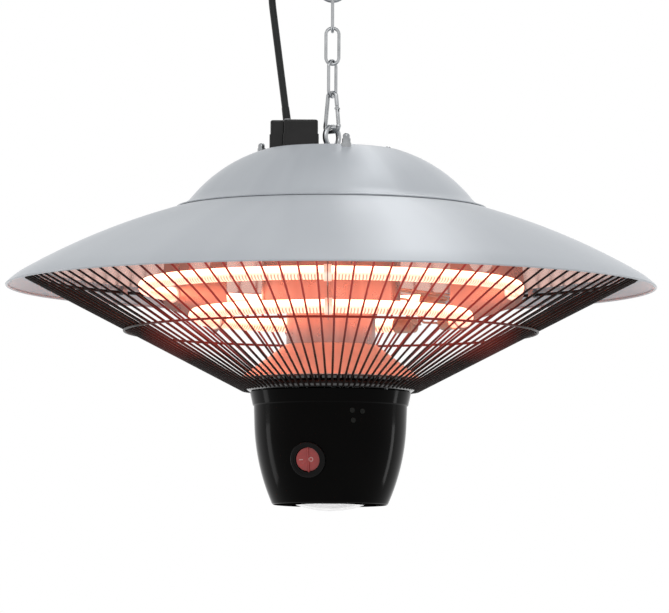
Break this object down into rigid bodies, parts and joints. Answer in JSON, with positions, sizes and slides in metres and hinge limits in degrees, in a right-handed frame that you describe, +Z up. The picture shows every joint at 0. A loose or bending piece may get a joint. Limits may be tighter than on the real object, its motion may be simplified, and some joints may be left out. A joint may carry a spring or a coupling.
{
  "type": "hanging infrared patio heater",
  "caption": "Round ceiling heater under a wide spun shade, with ring lamps behind a wire cone, a control pot below and a chain and carabiner above.",
  "frame": {"origin": "centre of the ceiling plate's screw circle in its top face, on the chain's axis", "axes": "+Z up; +X to the right and +Y away as the object hangs in the picture"},
  "size_m": [0.6, 0.6, 0.5141],
  "materials": {
    "silver_paint": "satin",
    "reflector_sheet": "satin",
    "galvanised_steel": "satin",
    "zinc_steel": "polished",
    "grille_wire": "satin",
    "black_plastic": "gloss",
    "box_plastic": "satin",
    "gloss_enamel": "gloss",
    "black_rubber": "matte",
    "cord_sheath": "matte",
    "quartz": "clear",
    "filament": "matte",
    "ceramic": "matte",
    "lens_plastic": "clear",
    "red_plastic": "gloss",
    "board_green": "satin",
    "indicator_plastic": "gloss"
  },
  "bodies": {
    "ceiling": {"ceiling_plate": "silver_paint", "ceiling_hook": "zinc_steel", "hook_lock_nut": "zinc_steel", "ceiling_gland": "box_plastic"},
    "link_3": {"chain_link_3": "zinc_steel"},
    "link_2": {"chain_link_2": "zinc_steel"},
    "link_1": {"chain_link_1": "zinc_steel"},
    "carabiner": {"carabiner_body": "zinc_steel", "gate_rivet": "zinc_steel"},
    "gate": {"carabiner_gate": "zinc_steel"},
    "rocker": {"switch_rocker": "red_plastic"},
    "heater": {"eye_bolt": "zinc_steel", "eye_nuts": "zinc_steel", "top_dome": "silver_paint", "mounting_studs": "zinc_steel", "stud_nuts": "zinc_steel", "dome_spacers": "galvanised_steel", "cap_washers": "zinc_steel", "cap_nuts": "zinc_steel", "junction_box_base": "box_plastic", "junction_box_cover": "box_plastic", "junction_box_screws": "zinc_steel", "terminal_block": "black_plastic", "power_cord": "cord_sheath", "cord_grommet": "black_rubber", "carrier_plate": "galvanised_steel", "main_shade": "silver_paint", "reflector": "reflector_sheet", "drum": "galvanised_steel", "lead_bushes": "ceramic", "lamp_terminal_block": "ceramic", "column": "galvanised_steel", "lower_reflector_cone": "reflector_sheet", "tie_rod": "zinc_steel", "tie_rod_nuts": "zinc_steel", "supply_harness": "black_rubber", "outer_lamp_tube": "quartz", "inner_lamp_tube": "quartz", "lamp_filaments": "filament", "lamp_end_caps": "ceramic", "lamp_leads": "ceramic", "lamp_brackets": "galvanised_steel", "lamp_clips": "galvanised_steel", "grille_wires": "grille_wire", "grille_outer_ring": "grille_wire", "grille_middle_ring": "grille_wire", "grille_inner_ring": "grille_wire", "rim_clips": "galvanised_steel", "pot_top_plate": "gloss_enamel", "pot_shell": "black_plastic", "pot_screws": "zinc_steel", "led_lens": "lens_plastic", "lens_retainer": "black_plastic", "led_board": "board_green", "control_board": "board_green", "board_components": "black_plastic", "board_standoffs": "zinc_steel", "switch_body": "black_plastic", "indicator_lights": "indicator_plastic"}
  },
  "joints": [
    {"name": "link_3_swing", "type": "hinge", "parent": "ceiling", "child": "link_3", "pos_m": [0, 0, -0.04127], "axis": [1, 0, 0], "range_deg": [-20, 20]},
    {"name": "link_2_swing", "type": "hinge", "parent": "link_3", "child": "link_2", "pos_m": [0, 0, -0.07057], "axis": [0, 1, 0], "range_deg": [-20, 20]},
    {"name": "link_1_swing", "type": "hinge", "parent": "link_2", "child": "link_1", "pos_m": [0, 0, -0.10087], "axis": [1, 0, 0], "range_deg": [-12, 12]},
    {"name": "carabiner_swing", "type": "hinge", "parent": "link_1", "child": "carabiner", "pos_m": [0, 0, -0.13117], "axis": [0.5592, 0.829, 0], "range_deg": [-15, 15]},
    {"name": "heater_swing", "type": "hinge", "parent": "carabiner", "child": "heater", "pos_m": [0, 0, -0.16367], "axis": [0.766, -0.6428, 0], "range_deg": [-15, 15], "deforming": ["power_cord"]},
    {"name": "gate_hinge", "type": "hinge", "parent": "carabiner", "child": "gate", "pos_m": [0.00475, -0.00398, -0.14247], "axis": [0.6428, 0.766, 0], "range_deg": [0, 25], "stiffness_Nm_per_rad": 0.003, "springref_deg": -17.19},
    {"name": "rocker_tilt", "type": "hinge", "parent": "heater", "child": "rocker", "pos_m": [-0.01993, -0.06135, -0.46958], "axis": [0.059, 0.1815, -0.9816], "range_deg": [0, 14]}
  ]
}
